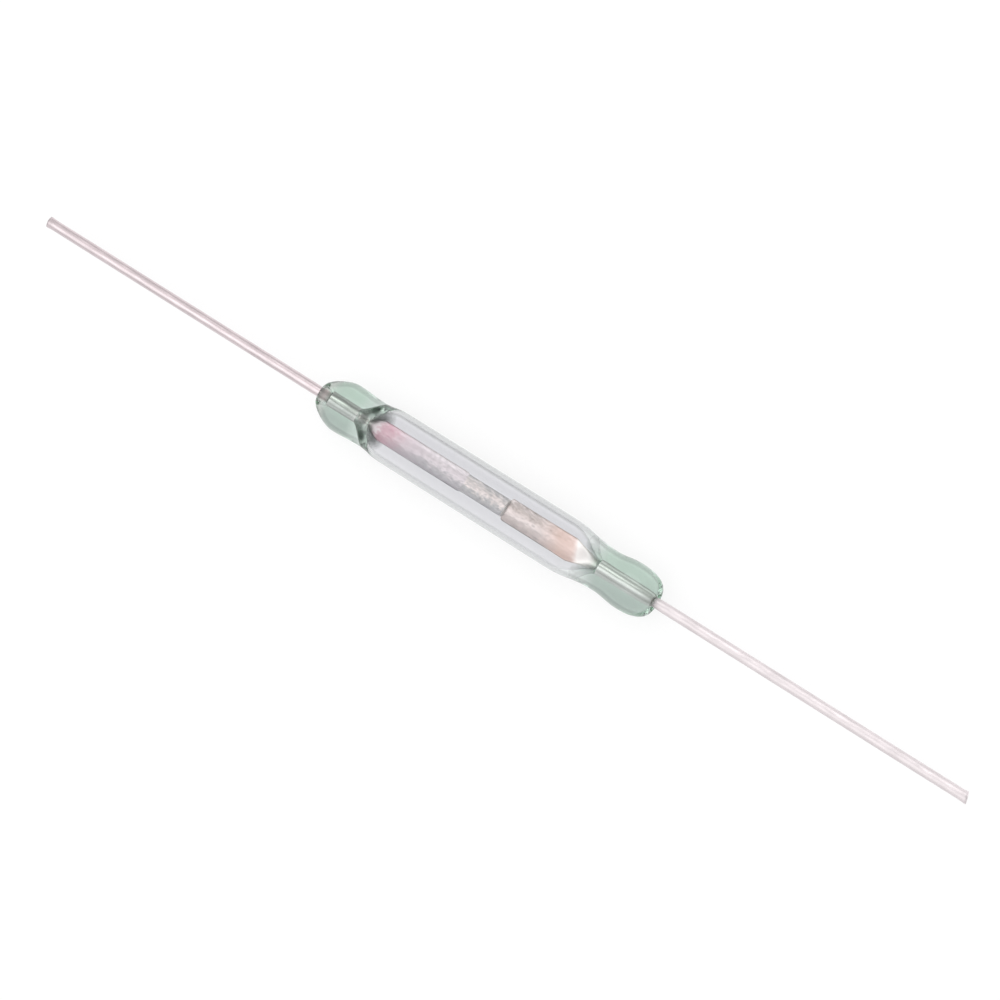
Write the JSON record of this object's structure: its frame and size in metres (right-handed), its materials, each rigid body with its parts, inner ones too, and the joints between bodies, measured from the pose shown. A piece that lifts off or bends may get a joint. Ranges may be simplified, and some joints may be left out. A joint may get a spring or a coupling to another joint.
{
  "type": "glass reed switch",
  "caption": "Glass tube with two springy metal reeds sealed into its ends; the overlapping blades close when a magnet is near. Straight wire leads.",
  "frame": {"origin": "middle of the glass, on the axis of the leads", "axes": "+X along the axis towards the right lead, +Z square to the blade faces, on the side of the left blade"},
  "size_m": [0.0544, 0.0028, 0.0028],
  "materials": {
    "glass": "clear drawn glass, green where it is thick",
    "tinned_lead": "bright tin over nickel-iron wire",
    "contact_reed": "satin nickel-iron with a plated contact tip"
  },
  "bodies": {
    "switch_body": {"glass_envelope": "glass", "left_lead": "tinned_lead", "right_lead": "tinned_lead"},
    "left_blade": {"left_reed_blade": "contact_reed"},
    "right_blade": {"right_reed_blade": "contact_reed"}
  },
  "joints": [
    {"name": "left_blade_flex", "type": "hinge", "parent": "switch_body", "child": "left_blade", "pos_m": [-0.0062, 0, 0.00014], "axis": [0, 1, 0], "range_deg": [0, 0.58], "stiffness_Nm_per_rad": 0.034},
    {"name": "right_blade_flex", "type": "hinge", "parent": "switch_body", "child": "right_blade", "pos_m": [0.0051, 0, -0.00014], "axis": [0, 1, 0], "range_deg": [0, 0.58]}
  ],
  "couplings": [
    {"joint": "right_blade_flex", "follows": "left_blade_flex", "ratio": 1}
  ]
}
